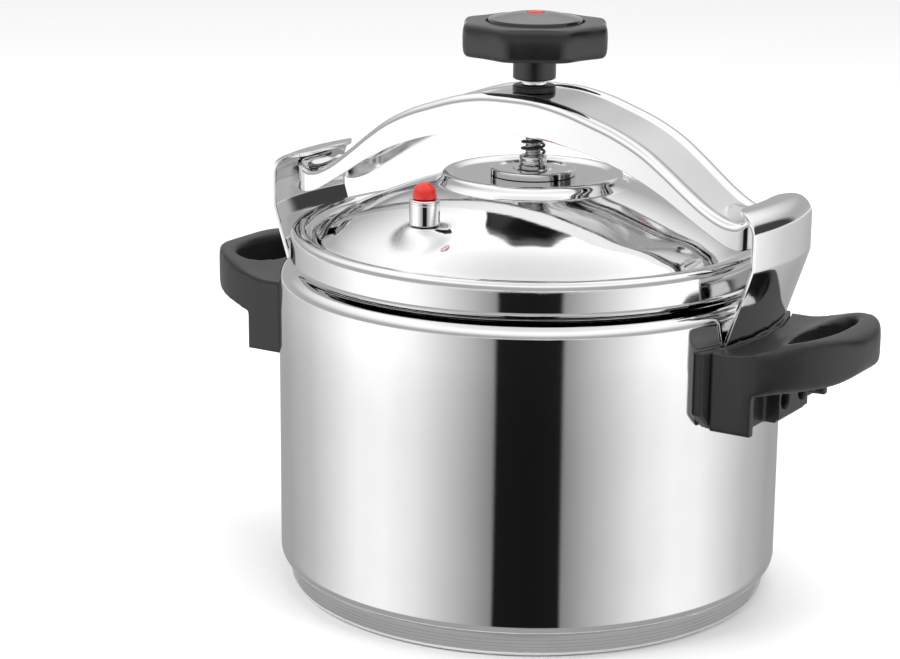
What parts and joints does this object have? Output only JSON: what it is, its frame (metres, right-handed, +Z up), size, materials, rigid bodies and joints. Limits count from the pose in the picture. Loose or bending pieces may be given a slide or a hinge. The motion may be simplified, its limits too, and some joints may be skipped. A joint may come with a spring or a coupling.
{
  "type": "pressure canner",
  "caption": "Polished steel clamp-lid pressure canner with loop handles, an arched clamping bow held by hooks, a screw knob and a weighted valve on the domed lid.",
  "frame": {"origin": "centre of the flat base, on the surface it stands on", "axes": "+Z up through pot, lid and knob; handles, hooks and bow lie along X; the weighted valve is on the -Y side"},
  "size_m": [0.38, 0.26, 0.298],
  "materials": {
    "polished_steel": "polished",
    "satin_steel": "satin",
    "base_aluminium": "satin",
    "black_phenolic": "satin",
    "grey_silicone": "matte",
    "spring_black": "satin",
    "red_plastic": "gloss"
  },
  "bodies": {
    "pot": {"pot_shell": "polished_steel", "base_capsule": "polished_steel", "base_core": "base_aluminium", "hook_right": "polished_steel", "saddle_right": "black_phenolic", "handle_right": "black_phenolic", "hook_left": "polished_steel", "saddle_left": "black_phenolic", "handle_left": "black_phenolic", "handle_screw_right_a": "satin_steel", "handle_screw_right_b": "satin_steel", "handle_screw_left_a": "satin_steel", "handle_screw_left_b": "satin_steel"},
    "lid": {"lid_shell": "polished_steel", "lid_gasket": "grey_silicone", "lid_centre_plate": "polished_steel", "thrust_collar": "polished_steel", "thrust_nut": "satin_steel", "return_spring": "spring_black", "vent_pipe": "satin_steel", "vent_nut": "satin_steel", "vent_filter": "polished_steel", "safety_body": "polished_steel", "safety_nut": "satin_steel"},
    "weight": {"valve_weight": "polished_steel", "valve_cap": "red_plastic"},
    "safety_plunger": {"safety_pin": "satin_steel", "safety_seal": "grey_silicone"},
    "screw": {"spindle": "satin_steel", "spindle_ferrule": "polished_steel", "knob_body": "black_phenolic", "knob_cap": "black_phenolic", "knob_dot": "red_plastic"},
    "bow": {"bow": "polished_steel", "bow_nut": "satin_steel", "bow_washer": "black_phenolic"}
  },
  "joints": [
    {"name": "lid_swing", "type": "hinge", "parent": "pot", "child": "lid", "pos_m": [0, 0, 0.18], "axis": [0, 0, 1], "range_deg": [0, 90]},
    {"name": "knob_turn", "type": "hinge", "parent": "lid", "child": "screw", "pos_m": [0, 0, 0.28], "axis": [0, 0, 1], "range_deg": [0, 720]},
    {"name": "bow_lower", "type": "slide", "parent": "lid", "child": "bow", "axis": [0, 0, 1], "range_m": [-0.00501, 0.00001], "deforming": ["return_spring"]},
    {"name": "weight_lift", "type": "slide", "parent": "lid", "child": "weight", "axis": [0, 0, 1], "range_m": [0, 0.003]},
    {"name": "safety_rise", "type": "slide", "parent": "lid", "child": "safety_plunger", "axis": [0, 0, 1], "range_m": [0, 0.002]}
  ],
  "couplings": [
    {"joint": "bow_lower", "follows": "knob_turn", "m_per_rad": -0.00039789}
  ]
}
